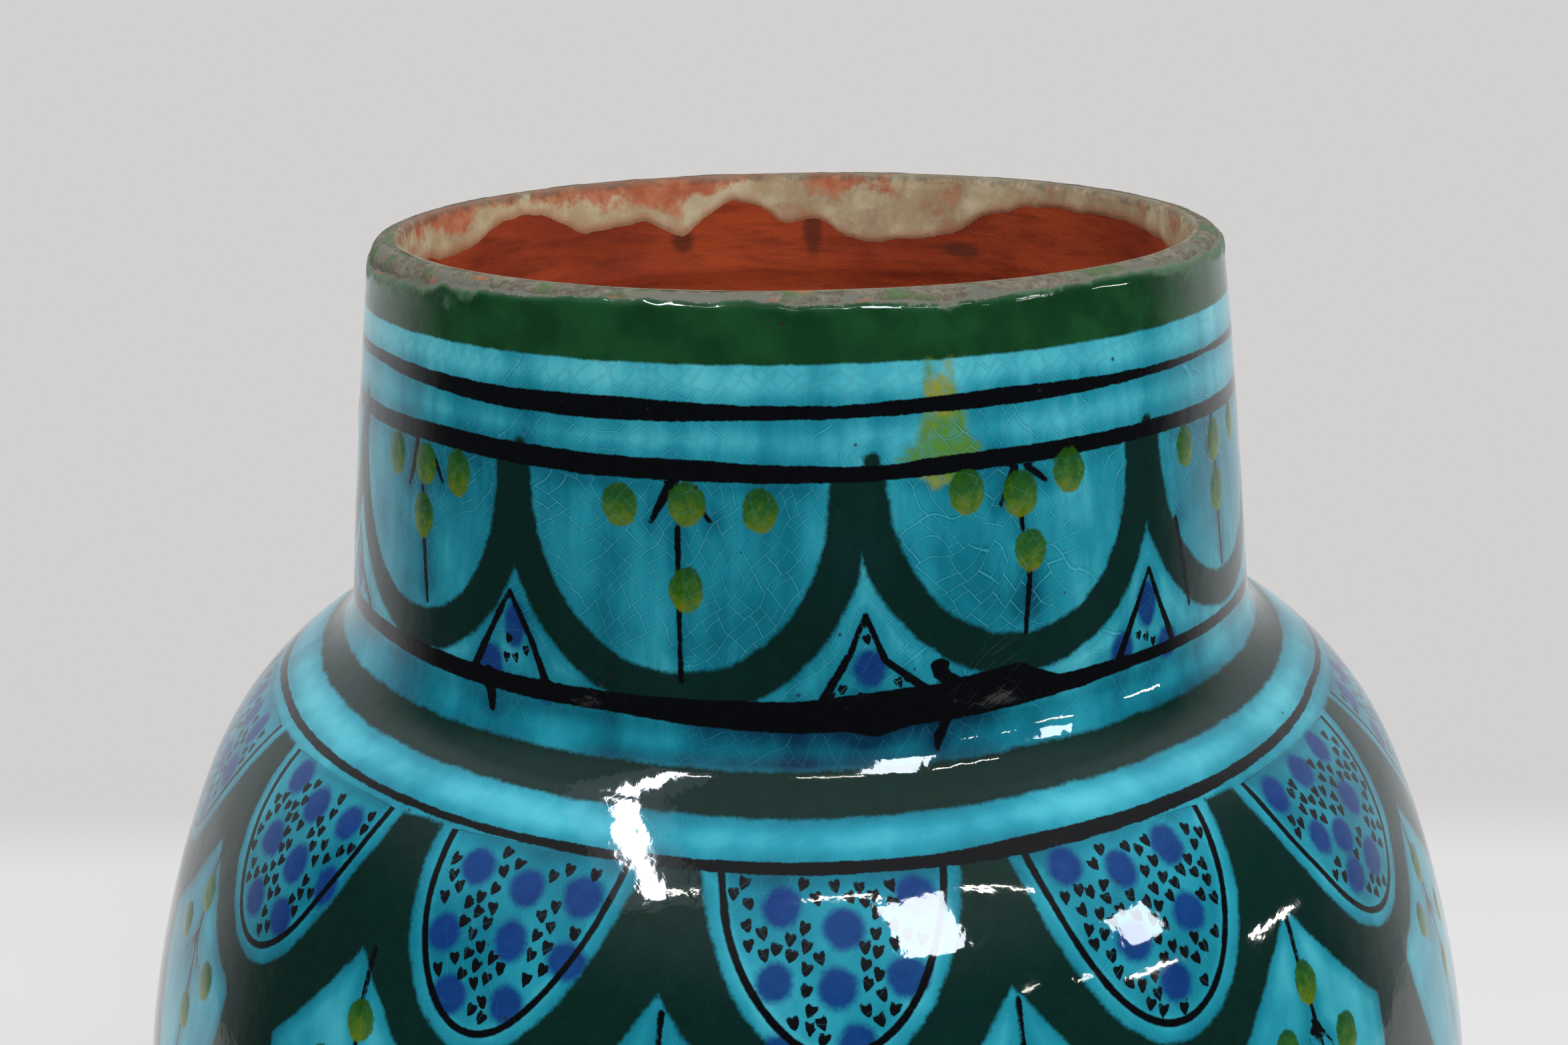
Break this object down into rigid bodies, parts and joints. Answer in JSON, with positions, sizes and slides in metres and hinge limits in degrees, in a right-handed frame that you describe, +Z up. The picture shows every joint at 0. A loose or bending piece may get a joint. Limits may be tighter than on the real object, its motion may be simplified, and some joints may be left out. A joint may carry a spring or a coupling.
{
  "type": "glazed jar",
  "caption": "Large wide-necked earthenware jar with a turquoise crackle glaze, a green rim band and painted rows of arches and scales.",
  "frame": {"origin": "centre of the foot ring's resting face, on the surface that the jar stands on", "axes": "+Z up along the jar's axis towards the mouth; -Y is the side that the picture shows; +X to the right in it"},
  "size_m": [0.239, 0.239, 0.33],
  "materials": {
    "terracotta": "bare fired red earthenware, matt, with throwing lines",
    "turquoise_glaze": "glossy crackled alkaline glaze with painted ornament",
    "green_glaze": "glossy dark green glaze band, worn at the rim",
    "cream_slip": "matt cream slip with an uneven lower edge"
  },
  "bodies": {
    "root": {"foot_ring": "terracotta", "floor_disc": "terracotta", "lower_course": "terracotta", "middle_course": "terracotta", "belly_course": "terracotta", "shoulder_course": "terracotta", "neck_wall": "terracotta", "turquoise_glaze": "turquoise_glaze", "green_rim_glaze": "green_glaze", "mouth_slip": "cream_slip"}
  },
  "joints": []
}
